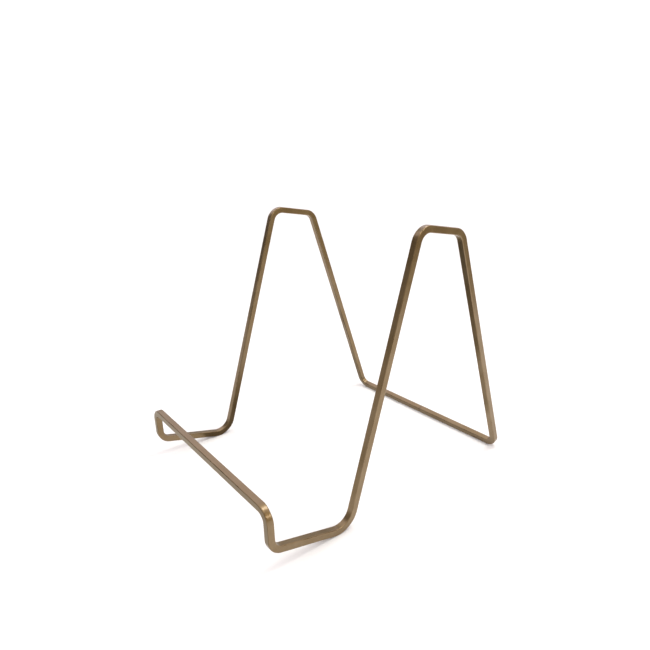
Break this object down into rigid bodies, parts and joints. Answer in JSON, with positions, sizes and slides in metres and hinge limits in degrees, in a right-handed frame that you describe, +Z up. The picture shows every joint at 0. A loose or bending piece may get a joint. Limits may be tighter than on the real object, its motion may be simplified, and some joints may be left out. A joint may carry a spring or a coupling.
{
  "type": "album stand",
  "caption": "Free-standing easel for an album or notebook, bent from slim square metal bar into a closed loop, with a front lip, sloping ledges, leaning back supports and splayed rear legs.",
  "frame": {"origin": "on the floor, in the middle of the stand's footprint", "axes": "+X to the right seen from the front, +Y from the front lip to the rear legs, +Z up"},
  "size_m": [0.14, 0.1916, 0.1605],
  "materials": {
    "bar": "satin champagne bronze metallic lacquer on steel bar",
    "weld": "the same satin lacquer over a dressed weld"
  },
  "bodies": {
    "root": {"front_lip_bar": "bar", "lip_corner_bend_right": "bar", "lip_corner_bend_left": "bar", "lip_riser_right": "bar", "lip_riser_left": "bar", "ledge_front_bend_right": "bar", "ledge_front_bend_left": "bar", "ledge_arm_right": "bar", "ledge_arm_left": "bar", "heel_bend_right": "bar", "heel_bend_left": "bar", "back_support_right": "bar", "back_support_left": "bar", "top_front_bend_right": "bar", "top_front_bend_left": "bar", "top_link_right": "bar", "top_link_left": "bar", "top_rear_bend_right": "bar", "top_rear_bend_left": "bar", "rear_leg_right": "bar", "rear_leg_left": "bar", "rear_corner_bend_right": "bar", "rear_corner_bend_left": "bar", "rear_floor_bar_right": "bar", "rear_floor_bar_left": "bar", "butt_weld": "weld"}
  },
  "joints": []
}
